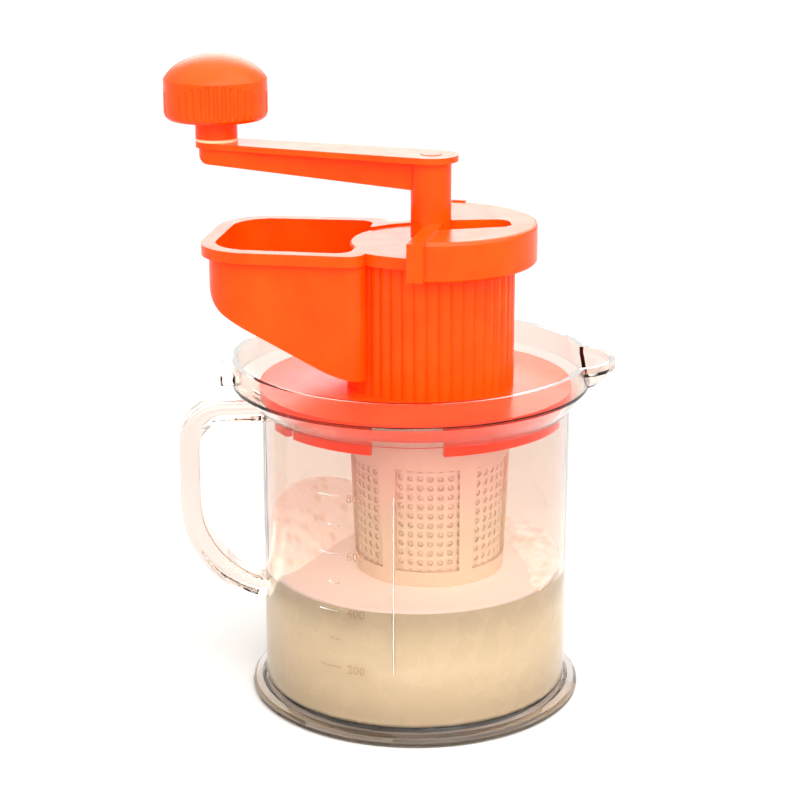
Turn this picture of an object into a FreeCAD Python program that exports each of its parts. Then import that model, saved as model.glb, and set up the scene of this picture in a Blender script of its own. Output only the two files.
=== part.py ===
import FreeCAD, Part
import Sketcher
import math
import os
import re

# A hand-cranked soy-milk grinder that stands in the collar of a clear measuring jug.
# The origin is the centre of the jug's base, +Z is up, and the hopper points along -X.
# The grinder's own heights are counted from the flange's underside, where it sits in the jug.

# ------------------------------------------------------------------ driving sizes, in mm and degrees
SIZES = [
    # the jug
    ("jug_radius", 56.5, "outer radius of the straight wall"),
    ("jug_wall", 2.0, "wall thickness"),
    ("jug_floor", 3.5, "floor thickness"),
    ("handle_turn", 13.0, "turn of the handle and the thumb tab from the hopper's axis"),
    ("foot_radius", 61.6, "outer radius of the foot ring"),
    ("foot_height", 3.4, "height of the foot ring's edge"),
    ("foot_recess", 1.2, "depth of the hollow under the base"),
    ("foot_ring_width", 8.0, "width of the ring that the jug stands on"),
    ("rim_radius", 65.3, "outer radius of the collar"),
    ("rim_height", 128.5, "height of the jug's rim"),
    ("collar_depth", 9.5, "height of the collar's upright part"),
    ("collar_shift", 1.8, "shift of the collar towards the handle's side"),
    ("spout_lip", 3.2, "height of the spout's upright edge"),
    ("spout_proud", 7.3, "reach of the spout beyond the collar's radius"),
    ("spout_round", 17.4, "radius of the spout's nose, in plan"),
    ("spout_turn", 3.5, "turn of the spout from the hopper's axis"),
    ("tab_proud", 4.2, "reach of the thumb tab beyond the collar"),
    ("tab_drop", 3.9, "depth of the thumb tab's top under the rim"),
    ("tab_thickness", 3.6, "thickness of the thumb tab"),
    ("tab_width", 22.0, "width of the thumb tab"),
    ("handle_reach", 86.7, "distance of the handle's outside from the axis"),
    ("handle_top", 113.8, "height of the handle's top"),
    ("handle_foot", 36.2, "height where the handle's underside meets the wall"),
    ("handle_slope", 20.0, "slope of the handle's lower end"),
    ("handle_depth", 7.2, "thickness of the grip"),
    ("handle_end_depth", 8.6, "thickness of the two ends"),
    ("handle_width", 16.0, "width of the handle"),
    ("handle_top_round", 16.0, "outer rounding at the top"),
    ("handle_low_straight", 5.5, "straight length between the wall and the bottom rounding"),
    ("handle_edge_round", 2.4, "rounding along the handle"),
    # the grinder's body
    ("seat_gap", 0.4, "air between the flange's edge and the jug's flare"),
    ("skirt_gap", 0.5, "air between the skirt and the jug's wall"),
    ("grinder_offset", 5.4, "distance of the grinder's axis from the jug's axis"),
    ("flange_foot_share", 0.18, "share of the flare's width that the flange's foot stands on"),
    ("flange_edge_share", 0.36, "share of the flare's width that the flange's edge reaches"),
    ("flange_thickness", 5.4, "height of the flange's edge"),
    ("dome_rise", 0.5, "rise of the flange's top to the barrel"),
    ("dome_inset", 1.0, "distance from the flange's edge to where the rise starts"),
    ("dome_top_radius", 38.0, "radius where the rise ends"),
    ("body_wall", 2.5, "wall thickness of the body"),
    ("skirt_depth", 6.8, "depth of the skirt under the flange"),
    ("skirt_wall", 2.0, "thickness of the skirt"),
    ("barrel_radius", 30.45, "radius over the barrel's ribs"),
    ("rib_height", 0.9, "height of the ribs"),
    ("rib_count", 42, "number of ribs round the barrel"),
    ("barrel_top", 58.4, "height of the barrel's rim"),
    ("barrel_shoulder", 0.6, "height of the shoulder over the basket"),
    ("barrel_bore", 27.3, "radius of the barrel's bore"),
    ("barrel_rim_radius", 34.0, "radius of the rim at the barrel's top"),
    ("barrel_rim_depth", 4.2, "depth of that rim"),
    ("web_bottom", 12.6, "height of the web's underside, where the fixed burr sits"),
    ("web_thickness", 5.0, "thickness of the web"),
    ("throat_radius", 15.0, "radius of the feed hole in the web"),
    ("neck_radius", 27.7, "outer radius of the neck that carries the basket"),
    ("neck_depth", 13.4, "depth of the neck under the flange"),
    # the hopper
    ("hopper_reach", 80.8, "distance of the hopper's rim from the grinder's axis"),
    ("hopper_near", 19.5, "distance of the hopper's near end from the grinder's axis"),
    ("hopper_far_half", 33.0, "half the rim's width at the far end"),
    ("hopper_near_half", 34.4, "half the rim's width at the near end"),
    ("hopper_rim_depth", 4.0, "depth of the rim band"),
    ("hopper_rim_step", 2.7, "inset of the wall under the rim band"),
    ("hopper_wall", 2.5, "wall thickness of the hopper"),
    ("hopper_corner", 20.0, "rounding of the far corners, at the rim"),
    ("hopper_near_corner", 6.0, "rounding of the near corners, at the rim"),
    ("hopper_heel", 14.0, "rounding between the far wall and the underside"),
    ("hopper_slope", 27.0, "slope of the underside"),
    ("hopper_low", 12.3, "height of the underside's level part"),
    ("hopper_toe", 27.0, "distance from the grinder's axis where the underside turns level"),
    ("hopper_toe_round", 40.0, "rounding where the underside turns level"),
    ("mouth_half", 18.0, "half the width of the mouth into the barrel"),
    # the cover, its bush and the half-moon cap
    ("cover_drop", 0.8, "depth of the cover's top under the rim"),
    ("cover_thickness", 2.4, "thickness of the cover"),
    ("cover_gap", 0.3, "air round the cover"),
    ("ledge_width", 2.1, "width of the ledge that carries the cover"),
    ("hub_radius", 9.5, "radius of the hub under the cover"),
    ("hub_depth", 7.2, "depth of that hub"),
    ("bush_radius", 6.8, "outer radius of the bush"),
    ("bush_head", 1.1, "thickness of the bush's head"),
    ("bush_head_radius", 7.3, "radius of the bush's head"),
    ("press_gap", 0.02, "radial gap of pieces pressed together"),
    ("running_gap", 0.06, "radial gap of turning fits"),
    ("cap_radius", 38.3, "radius of the half-moon cap"),
    ("cap_rise", 6.5, "height of the cap's top over the barrel's rim"),
    ("cap_skirt", 14.0, "height of the cap's skirt"),
    ("cap_wall", 2.4, "wall thickness of the cap"),
    ("cap_gap", 0.35, "air between the cap and the rim that it slides under"),
    ("cap_lip_radius", 31.5, "inner radius of the cap's lip under the rim"),
    ("cap_turn", -4.0, "turn of the cap from the hopper's axis"),
    ("cap_tab_reach", 43.0, "reach of the cap's front tab from the shaft's axis"),
    ("cap_tab_lift", 1.0, "height of the tabs' underside over the skirt's"),
    ("cap_back_tab", 0.9, "reach of the back tab beyond the cap"),
    ("beam_width", 5.7, "width of the tabs and of the raised bar along the flat edge"),
    ("cap_tab_proud", 0.5, "height of the tabs and the bar over the top"),
    ("slot_width", 17.2, "width of the slot at the shaft"),
    ("slot_end_width", 12.9, "width of the slot at its end"),
    ("slot_side", 0.6, "distance of the slot's far side from the shaft's axis"),
    ("slot_round", 5.0, "rounding of the slot's corners"),
    ("slot_length", 28.0, "length of the slot from the shaft's axis"),
    ("slot_turn", 17.0, "turn of the slot from the cap's middle"),
    ("slot_wall", 1.8, "thickness of the wall round the slot"),
    # the drive
    ("shaft_radius", 5.0, "radius of the drive shaft"),
    ("shaft_square", 7.0, "width across the shaft's square end"),
    ("square_length", 20.0, "length of the square end"),
    ("thread_radius", 4.0, "radius of the threaded lower end"),
    ("thread_tail", 1.2, "length of thread that stands out of the nut"),
    ("auger_radius", 26.6, "radius of the feed screw's flight"),
    ("auger_hub", 7.6, "radius of the feed screw's hub"),
    ("auger_pitch", 21.0, "pitch of the flight"),
    ("auger_gap", 1.5, "air between the feed screw and the web"),
    ("flight_thickness", 2.4, "thickness of the flight"),
    ("thrust_gap", 0.3, "end play of turning pieces"),
    ("face_gap", 0.1, "air between stacked flat faces"),
    ("washer_gap", 0.25, "radial gap of the washer on the shaft"),
    ("fixed_burr_radius", 25.2, "radius of the fixed burr"),
    ("fixed_burr_thickness", 8.0, "thickness of the fixed burr"),
    ("turning_burr_radius", 22.5, "radius of the turning burr"),
    ("turning_burr_thickness", 8.0, "thickness of the turning burr"),
    ("burr_gap", 0.5, "grinding gap between the burrs"),
    ("groove_count", 16, "number of grooves in each burr"),
    ("groove_depth", 1.0, "depth of the grooves"),
    ("groove_width", 2.0, "width of the grooves"),
    ("burr_screw_ring", 20.4, "radius of the ring of burr screws"),
    ("burr_screw_count", 3, "number of burr screws"),
    ("screw_radius", 1.5, "radius of the small screws"),
    ("screw_head_radius", 3.0, "radius of their countersunk heads"),
    ("pin_radius", 1.5, "radius of the burr's drive pin"),
    ("pin_length", 17.0, "length of the drive pin"),
    ("pin_gap", 0.3, "air between the pin and its slot"),
    ("spring_radius", 7.0, "mean radius of the spring"),
    ("spring_wire", 0.7, "radius of the spring's wire"),
    ("spring_pitch", 3.4, "pitch of the spring"),
    ("washer_radius", 9.0, "radius of the washer over the nut"),
    ("washer_thickness", 1.2, "thickness of that washer"),
    ("nut_radius", 10.0, "radius of the adjusting nut"),
    ("nut_height", 6.5, "height of the adjusting nut"),
    ("nut_lobes", 8, "number of finger scallops round the nut"),
    ("scallop_radius", 2.2, "radius of the finger scallops"),
    # the crank
    ("crank_length", 84.3, "distance from the shaft to the knob"),
    ("crank_turn", 167.0, "direction in which the crank rests"),
    ("crank_height", 88.9, "height of the arm's top over the seat"),
    ("sleeve_radius", 7.3, "radius of the crank's sleeve"),
    ("plate_thickness", 2.2, "thickness of the arm's top plate"),
    ("plate_near_radius", 9.8, "radius of the plate round the sleeve"),
    ("plate_far_radius", 7.8, "radius of the plate round the knob's axle"),
    ("walls_near_half", 4.0, "half the width of the arm's walls at the sleeve"),
    ("walls_far_half", 6.6, "half the width of the arm's walls at the knob"),
    ("arm_near_depth", 13.0, "depth of the arm at the sleeve"),
    ("arm_far_depth", 8.0, "depth of the arm at the knob"),
    ("arm_wall", 1.8, "thickness of the arm's walls"),
    ("arm_end_round", 6.0, "rounding of the arm's far end, seen from the side"),
    ("crank_screw_head", 3.5, "radius of the crank screw's head"),
    ("crank_screw_head_height", 3.0, "height of that head"),
    ("crank_screw_length", 14.0, "length of the crank screw's shank"),
    ("crank_screw_radius", 2.0, "radius of the crank screw's shank"),
    ("plug_radius", 3.9, "radius of the plug over the screw"),
    ("plug_thickness", 1.8, "thickness of the plug"),
    ("plug_proud", 0.2, "height of the plug over the arm"),
    ("set_screw_height", 5.4, "height of the set screw over the barrel's rim"),
    ("set_screw_radius", 2.1, "radius of the set screw"),
    ("set_screw_recess", 0.4, "depth of the set screw's end in the sleeve"),
    ("set_screw_turn", 232.0, "direction that the set screw faces"),
    # the knob
    ("knob_radius", 19.1, "radius of the knob"),
    ("knob_bottom", 7.9, "height of the knob's underside over the arm"),
    ("knob_side", 14.9, "height of the knob's straight side"),
    ("knob_dome", 9.2, "height of the knob's dome"),
    ("dome_swell", 1.3, "how much wider the dome's ellipsoid is than the knob"),
    ("knob_edge_round", 3.0, "rounding of the knob's lower edge"),
    ("knob_neck_radius", 7.8, "radius of the knob's neck"),
    ("knob_wall", 2.6, "wall thickness of the knob"),
    ("flute_count", 11, "number of flutes in each arch"),
    ("flute_step", 9.0, "angle from one flute to the next"),
    ("flute_radius", 1.15, "radius of the flutes"),
    ("flute_arch", 3.7, "drop of the flutes' tops from the middle of an arch to its ends"),
    ("flute_top", 0.5, "depth of the middle flute's top under the dome"),
    ("arch_count", 3, "number of arches round the knob"),
    ("knob_turn", -77.0, "direction of the first arch"),
    ("axle_radius", 3.0, "radius of the knob's axle"),
    ("axle_head_radius", 4.2, "radius of the axle's snap head"),
    ("axle_head_height", 3.2, "height of that head"),
    ("axle_depth", 6.0, "depth of the axle in the arm's boss"),
    ("axle_length", 17.0, "length of the axle over the arm's top"),
    ("knob_washer_radius", 7.8, "radius of the washer under the knob"),
    ("knob_washer_thickness", 1.0, "thickness of that washer"),
    # the filter basket
    ("basket_radius", 29.6, "radius of the basket's collar"),
    ("basket_low_radius", 27.6, "radius at the foot of the basket's taper"),
    ("basket_gap", 0.3, "air between the basket's collar and the neck"),
    ("basket_top_gap", 0.4, "air over the basket's collar"),
    ("basket_collar", 15.0, "height of the basket's collar"),
    ("basket_height", 69.2, "height of the basket"),
    ("basket_round", 5.0, "rounding of the basket's bottom"),
    ("basket_wall", 1.5, "wall thickness of the basket"),
    ("basket_floor", 1.8, "thickness of the basket's floor"),
    ("window_count", 6, "number of windows round the basket"),
    ("window_width", 23.0, "width of each window"),
    ("window_top", 19.9, "depth of the windows' top under the flange"),
    ("window_height", 39.0, "height of the windows"),
    ("window_turn", -84.7, "direction of the first window"),
    ("mesh_wall", 0.6, "thickness of the mesh sleeve"),
    ("mesh_overlap", 2.0, "overlap of the mesh over the windows' edges"),
    ("mesh_gap", 0.1, "air between the mesh and the basket's wall"),
]

doc = FreeCAD.newDocument("hand_crank_blender")
sheet = doc.addObject("Spreadsheet::Sheet", "Sizes")
for row, (alias, size, meaning) in enumerate(SIZES, start=1):
    sheet.set(f"A{row}", meaning)
    sheet.set(f"B{row}", str(size))
    sheet.setAlias(f"B{row}", alias)
doc.recompute()

# Each gap in the skirt, from one direction to another in degrees about the jug's axis.
SKIRT_GAPS = [(-99, -72), (-13, 17), (60, 80), (130, 150), (180, 212), (222, 226)]

# Points closer than this are taken as the same point.
NEAR = 0.01


# ------------------------------------------------------------------ helpers
def formula(text):
    """A formula in size names, written for the expression engine."""
    return re.sub(r"\b([a-z]+(?:_[a-z]+)+)\b", r"Sizes.\1", str(text))


def number(text):
    """The value of a formula, for geometry that is set by code."""
    result = sheet.evalExpression(formula(text))
    return float(getattr(result, "Value", result))


def bind(thing, **sizes):
    """Binds properties to formulas; a double underscore stands for a dot."""
    for name, text in sizes.items():
        thing.setExpression(name.replace("__", "."), formula(text))


def settle(thing, x="0", y="0", z="0", turn="0"):
    """Places a thing at formulas, turned about the vertical."""
    thing.Placement = FreeCAD.Placement()
    bind(thing, Placement__Base__x=x, Placement__Base__y=y, Placement__Base__z=z)
    bind(thing, Placement__Rotation__Angle=turn)


def outline(sketch, corners):
    """Draws a closed outline through corners, each a pair of formulas."""
    points = [FreeCAD.Vector(number(x), number(y), 0) for x, y in corners]
    first = sketch.GeometryCount
    for start, end in zip(points, points[1:] + points[:1]):
        sketch.addGeometry(Part.LineSegment(start, end), False)
    for index, corner in enumerate(corners):
        line = first + index
        following = first + (index + 1) % len(corners)
        sketch.addConstraint(Sketcher.Constraint("Coincident", line, 2, following, 1))
        for kind, text in zip(("DistanceX", "DistanceY"), corner):
            rule = sketch.addConstraint(Sketcher.Constraint(kind, -1, 1, line, 1, number(text)))
            sketch.setExpression(f"Constraints[{rule}]", formula(text))


def ring(sketch, radius, x="0", y="0"):
    """Draws a circle of a radius about a point, all formulas."""
    centre = FreeCAD.Vector(number(x), number(y), 0)
    circle = sketch.addGeometry(Part.Circle(centre, FreeCAD.Vector(0, 0, 1), number(radius)), False)
    for kind, text in (("DistanceX", x), ("DistanceY", y)):
        rule = sketch.addConstraint(Sketcher.Constraint(kind, -1, 1, circle, 3, number(text)))
        sketch.setExpression(f"Constraints[{rule}]", formula(text))
    rule = sketch.addConstraint(Sketcher.Constraint("Radius", circle, number(radius)))
    sketch.setExpression(f"Constraints[{rule}]", formula(radius))


def new_body(name):
    body = doc.addObject("PartDesign::Body", name)
    body.Label = name
    return body


def sketch_in(body, plane, level="0"):
    """A sketch on one of the body's own origin planes, raised along its normal."""
    sketch = body.newObject("Sketcher::SketchObject", body.Name + "_sketch")
    origin_plane = next(item for item in body.Origin.OriginFeatures if item.Role == plane)
    sketch.AttachmentSupport = (origin_plane, [""])
    sketch.MapMode = "FlatFace"
    bind(sketch, AttachmentOffset__Base__z=level)
    return sketch


def revolve(body, corners):
    """Adds a turned solid; corners are (radius, height) pairs."""
    sketch = sketch_in(body, "XZ_Plane")
    outline(sketch, corners)
    feature = body.newObject("PartDesign::Revolution", body.Name + "_turned")
    feature.Profile = sketch
    feature.ReferenceAxis = (sketch, ["V_Axis"])
    feature.Angle = 360
    doc.recompute()
    return feature


def turned(name, corners):
    """A body with one turned solid."""
    body = new_body(name)
    revolve(body, corners)
    return body


def extrude(body, kind, sketch, length, **settings):
    """Adds a Pad or a Pocket of a sketch."""
    feature = body.newObject("PartDesign::" + kind, body.Name + "_" + kind.lower())
    feature.Profile = sketch
    bind(feature, Length=length)
    for name, value in settings.items():
        setattr(feature, name, value)
    sketch.Visibility = False
    doc.recompute()
    return feature


def slab(name, corners, low, high):
    """A body with one outline in plan, padded from one height to another."""
    body = new_body(name)
    sketch = sketch_in(body, "XY_Plane", low)
    outline(sketch, corners)
    extrude(body, "Pad", sketch, f"({high}) - ({low})")
    return body


def cross_slab(name, corners, width):
    """A body with one outline in the XZ plane, padded to both sides."""
    body = new_body(name)
    sketch = sketch_in(body, "XZ_Plane")
    outline(sketch, corners)
    extrude(body, "Pad", sketch, width, Midplane=True)
    return body


def cut_round(body, radius, low, high, x="0", y="0"):
    """Pockets a round hole between two heights."""
    sketch = sketch_in(body, "XY_Plane", high)
    ring(sketch, radius, x, y)
    return extrude(body, "Pocket", sketch, f"({high}) - ({low})")


def pattern(body, feature, count):
    """Repeats a feature round the vertical axis."""
    copies = body.newObject("PartDesign::PolarPattern", body.Name + "_pattern")
    copies.Originals = [feature]
    axis = next(item for item in body.Origin.OriginFeatures if item.Role == "Z_Axis")
    copies.Axis = (axis, [""])
    copies.Angle = 360
    bind(copies, Occurrences=count)
    body.Tip = copies
    doc.recompute()
    return copies


def edges_where(body, test):
    """Names of the edges whose end points all pass a test."""
    names = []
    for index, edge in enumerate(body.Shape.Edges, start=1):
        ends = [vertex.Point for vertex in edge.Vertexes]
        if len(ends) == 2 and all(test(end) for end in ends):
            names.append(f"Edge{index}")
    return names


def round_edges(body, names, radius):
    """Fillets edges of the body's latest feature."""
    latest = body.Tip
    feature = body.newObject("PartDesign::Fillet", body.Name + "_fillet")
    feature.Base = (latest, names)
    bind(feature, Radius=radius)
    doc.recompute()
    return feature


def round_corners(body, corners, radius, across="y"):
    """Fillets the edges that run through corners of the body's outline, each a pair of formulas."""
    names = []
    for first, second in corners:
        x, other = number(first), number(second)
        names += edges_where(body, lambda end: math.hypot(end.x - x, getattr(end, across) - other) < NEAR)
    return round_edges(body, names, radius)


def cylinder(name, radius, low, high, x="0", y="0"):
    """A Part cylinder between two heights."""
    thing = doc.addObject("Part::Cylinder", name)
    bind(thing, Radius=radius, Height=f"({high}) - ({low})")
    settle(thing, x, y, low)
    return thing


def fuse(name, things):
    result = doc.addObject("Part::MultiFuse", name)
    result.Shapes = things
    result.Label = name
    doc.recompute()
    return result


def cut(name, base, tools):
    """Takes one or more tools away from a base."""
    tool = tools[0] if len(tools) == 1 else fuse(name + "_tools", tools)
    result = doc.addObject("Part::Cut", name)
    result.Base = base
    result.Tool = tool
    result.Label = name
    doc.recompute()
    return result


def common(name, things):
    result = doc.addObject("Part::MultiCommon", name)
    result.Shapes = things
    result.Label = name
    doc.recompute()
    return result


def made_by_code(name, shape):
    """A shape that no feature draws."""
    feature = doc.addObject("Part::Feature", name)
    feature.Shape = shape
    feature.Label = name
    return feature


# ------------------------------------------------------------------ levels that several pieces share
ROOT_TWO = "sqrt(2)"
FLARE_TOP = "(rim_height - collar_depth)"
FLARE_START = f"({FLARE_TOP} - rim_radius + jug_radius)"
INNER_RISE = f"(jug_wall * ({ROOT_TWO} - 1))"
JUG_INNER = "(jug_radius - jug_wall)"
SPOUT_CENTRE = "(rim_radius + spout_proud - spout_round)"
FLARE_WIDTH = "(rim_radius - collar_shift - jug_radius)"
FLARE_SLOPE = f"({FLARE_WIDTH} / ({FLARE_TOP} - {FLARE_START}))"
FLANGE_FOOT = f"({JUG_INNER} + flange_foot_share * {FLARE_WIDTH})"
FLANGE_RADIUS = f"({JUG_INNER} + flange_edge_share * {FLARE_WIDTH})"
FLANGE_BEVEL = f"(({FLANGE_RADIUS} - {FLANGE_FOOT}) / {FLARE_SLOPE})"
SEAT = f"({FLARE_START} + {INNER_RISE} + ({FLANGE_FOOT} - {JUG_INNER} + seat_gap) / {FLARE_SLOPE})"
DOME_TOP = "(flange_thickness + dome_rise)"
WEB_TOP = "(web_bottom + web_thickness)"
COVER_TOP = "(barrel_top - cover_drop)"
COVER_BOTTOM = f"({COVER_TOP} - cover_thickness)"
HUB_BOTTOM = f"({COVER_BOTTOM} - hub_depth)"
BUSH_TOP = f"({COVER_TOP} + bush_head)"
SLEEVE_BOTTOM = f"({BUSH_TOP} + thrust_gap)"
SQUARE_TOP = f"({SLEEVE_BOTTOM} + square_length)"
AUGER_TOP = f"({HUB_BOTTOM} - thrust_gap)"
AUGER_BOTTOM = f"({WEB_TOP} + auger_gap)"
FIXED_BURR_BOTTOM = "(web_bottom - fixed_burr_thickness)"
TURNING_BURR_TOP = f"({FIXED_BURR_BOTTOM} - burr_gap)"
TURNING_BURR_BOTTOM = f"({TURNING_BURR_TOP} - turning_burr_thickness)"
WASHER_BOTTOM = f"({TURNING_BURR_BOTTOM} - washer_thickness)"
NUT_BOTTOM = f"({WASHER_BOTTOM} - nut_height)"
SHAFT_BOTTOM = f"({NUT_BOTTOM} - thread_tail)"
PIN_LEVEL = f"({TURNING_BURR_TOP} - pin_radius)"
CRANK_SCREW_SEAT = "(crank_height + plug_proud - plug_thickness - face_gap - crank_screw_head_height)"
CRANK_SCREW_TIP = f"({CRANK_SCREW_SEAT} - crank_screw_length)"
KNOB_X = "(grinder_offset + crank_length * cos(crank_turn))"
KNOB_Y = "(crank_length * sin(crank_turn))"
SET_SCREW_LEVEL = "(barrel_top + set_screw_height)"
AXLE_BOTTOM = "(crank_height - axle_depth)"
AXLE_HEAD_SEAT = "(crank_height + axle_length)"
CAP_TOP = "(barrel_top + cap_rise)"
CAP_BOTTOM = f"({CAP_TOP} - cap_skirt)"
BASKET_TOP = "(barrel_shoulder - basket_top_gap)"
BASKET_BOTTOM = f"({BASKET_TOP} - basket_height)"
BASKET_INNER = "(neck_radius + basket_gap)"


# ------------------------------------------------------------------ the jug
def skew_cone(name, low_radius, low, high_radius, high):
    """The flare: a solid between two level circles, the upper one shifted with the collar."""
    rings = []
    ends = (("low", low_radius, low, "0"), ("high", high_radius, high, "-collar_shift"))
    for end, radius, level, x in ends:
        circle = doc.addObject("Part::Circle", f"{name}_{end}")
        bind(circle, Radius=radius)
        settle(circle, x=x, z=level)
        rings.append(circle)
    cone = doc.addObject("Part::Loft", name)
    cone.Sections = rings
    cone.Solid = True
    cone.Ruled = True
    doc.recompute()
    return cone


def spout_nose(name, corners):
    """The spout's round nose, turned about its own axis beside the rim."""
    nose = turned(name, corners)
    settle(nose, x=f"{SPOUT_CENTRE} * cos(spout_turn)", y=f"{SPOUT_CENTRE} * sin(spout_turn)")
    return nose


def make_handle():
    """The D handle: one bent band, thinner along the grip than at its ends."""
    root = "jug_radius - jug_wall / 2"
    inner = "handle_reach - handle_depth"
    drop = f"(handle_reach - ({root})) * tan(handle_slope)"
    low_run = f"(handle_reach - ({root})) / cos(handle_slope) - handle_low_straight"
    low_round = f"({low_run}) / tan(45 - handle_slope / 2)"
    inner_drop = f"({inner} - ({root})) * tan(handle_slope)"
    corners = [
        (root, "handle_foot"),
        ("handle_reach", f"handle_foot + {drop}"),
        ("handle_reach", "handle_top"),
        (root, "handle_top"),
        (root, "handle_top - handle_end_depth"),
        (inner, "handle_top - handle_end_depth"),
        (inner, f"handle_foot + handle_end_depth + {inner_drop}"),
        (root, "handle_foot + handle_end_depth"),
    ]
    handle = cross_slab("handle_block", corners, "handle_width")
    rounds = [
        (corners[1], low_round),
        (corners[2], "handle_top_round"),
        (corners[5], "handle_top_round - handle_depth"),
        (corners[6], f"{low_round} - handle_depth"),
    ]
    for corner, radius in rounds:
        round_corners(handle, [corner], radius, across="z")
    side = number("handle_width") / 2
    round_edges(handle, edges_where(handle, lambda end: abs(abs(end.y) - side) < NEAR), "handle_edge_round")
    bind(handle, Placement__Rotation__Angle="180 + handle_turn")
    return handle


def make_thumb_tab():
    """The thumb tab: a level ledge on the collar over the handle."""
    root = "-(rim_radius + collar_shift - jug_wall - 1)"
    reach = "-(rim_radius + collar_shift + tab_proud)"
    half = "tab_width / 2"
    corners = [(root, f"-({half})"), (reach, f"-({half})"), (reach, half), (root, half)]
    tab = slab("thumb_tab", corners, "rim_height - tab_drop - tab_thickness", "rim_height - tab_drop")
    round_corners(tab, [corners[1], corners[2]], "tab_thickness / 2")
    bind(tab, Placement__Rotation__Angle="handle_turn")
    return tab


def make_jug():
    """Clear jug: foot ring, straight wall, flared collar, spout, thumb tab and handle in one moulding."""
    outer = turned("jug_outside", [
        ("0", "foot_recess"),
        ("foot_radius - foot_ring_width - foot_recess", "foot_recess"),
        ("foot_radius - foot_ring_width", "0"),
        ("foot_radius - 1", "0"),
        ("foot_radius", "1"),
        ("foot_radius", "foot_height - 1.2"),
        ("foot_radius - 1.2", "foot_height"),
        ("jug_radius + 1.6", "foot_height + 0.6"),
        ("jug_radius", "foot_height + 2.2"),
        ("jug_radius", FLARE_START),
        ("0", FLARE_START),
    ])
    flare = skew_cone("flare_outside", "jug_radius", FLARE_START, "rim_radius", FLARE_TOP)
    collar = cylinder("collar_outside", "rim_radius", FLARE_TOP, "rim_height", x="-collar_shift")
    inner_corner = f"{FLARE_START} + {INNER_RISE}"
    inner_top = f"{FLARE_TOP} + {INNER_RISE}"
    collar_inner = "rim_radius - jug_wall"
    inner = turned("jug_inside", [
        ("0", "foot_recess + jug_floor"),
        (f"{JUG_INNER} - 2", "foot_recess + jug_floor"),
        (JUG_INNER, "foot_recess + jug_floor + 2"),
        (JUG_INNER, inner_corner),
        ("0", inner_corner),
    ])
    inner_flare = skew_cone("flare_inside", JUG_INNER, inner_corner, collar_inner, inner_top)
    inner_collar = cylinder("collar_inside", collar_inner, inner_top, "rim_height + 1", x="-collar_shift")
    lip_level = "rim_height - spout_lip"
    bevel = f"({lip_level} - {FLARE_TOP})"
    nose = spout_nose("spout_outside", [
        ("0", FLARE_TOP),
        (f"spout_round - {bevel}", FLARE_TOP),
        ("spout_round", lip_level),
        ("spout_round", "rim_height"),
        ("0", "rim_height"),
    ])
    bowl = spout_nose("spout_inside", [
        ("0", f"{FLARE_TOP} + jug_wall"),
        (f"spout_round - {bevel} - {INNER_RISE}", f"{FLARE_TOP} + jug_wall"),
        ("spout_round - jug_wall", f"{lip_level} + {INNER_RISE}"),
        ("spout_round - jug_wall", "rim_height + 1"),
        ("0", "rim_height + 1"),
    ])
    solid = fuse("jug_solid", [outer, flare, collar, nose, make_thumb_tab(), make_handle()])
    return cut("jug", solid, [inner, inner_flare, inner_collar, bowl])


# ------------------------------------------------------------------ the grinder's body
def ribbed_rod(name, low, high):
    """The barrel's outside: rounded ribs side by side all the way up."""
    crest = number("barrel_radius")
    valley = crest - number("rib_height")
    count = int(number("rib_count"))
    arcs = []
    for rib in range(count):
        points = []
        for share, radius in ((0, valley), (0.5, crest), (1, valley)):
            angle = 2 * math.pi * (rib + share) / count
            points.append(FreeCAD.Vector(radius * math.cos(angle), radius * math.sin(angle), number(low)))
        arcs.append(Part.Arc(*points).toShape())
    face = Part.Face(Part.Wire(arcs))
    return made_by_code(name, face.extrude(FreeCAD.Vector(0, 0, number(high) - number(low))))


def hopper_plan(name, inset, near, low, high):
    """The hopper's outline in plan, rounded at its four corners."""
    far = f"-(hopper_reach - ({inset}))"
    close = f"-({near})"
    far_half = f"hopper_far_half - ({inset})"
    near_half = f"hopper_near_half - ({inset})"
    corners = [(far, f"-({far_half})"), (close, f"-({near_half})"), (close, near_half), (far, far_half)]
    block = slab(name, corners, low, high)
    round_corners(block, [corners[0], corners[3]], f"hopper_corner - ({inset})")
    round_corners(block, [corners[1], corners[2]], "hopper_near_corner")
    return block


def hopper_side(name, reach, lift, high, heel):
    """The hopper seen from the side: far wall, rounded heel, sloping underside and level toe."""
    far = f"-({reach})"
    low = f"hopper_low + ({lift})"
    toe = f"hopper_toe + ({lift}) * tan(hopper_slope / 2)"
    heel_level = f"{low} + (({reach}) - ({toe})) * tan(hopper_slope)"
    corners = [(far, high), (far, heel_level), (f"-({toe})", low), ("0", low), ("0", high)]
    block = cross_slab(name, corners, "3 * hopper_near_half")
    round_corners(block, [corners[1]], heel, across="z")
    round_corners(block, [corners[2]], f"hopper_toe_round - ({lift})", across="z")
    return block


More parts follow.
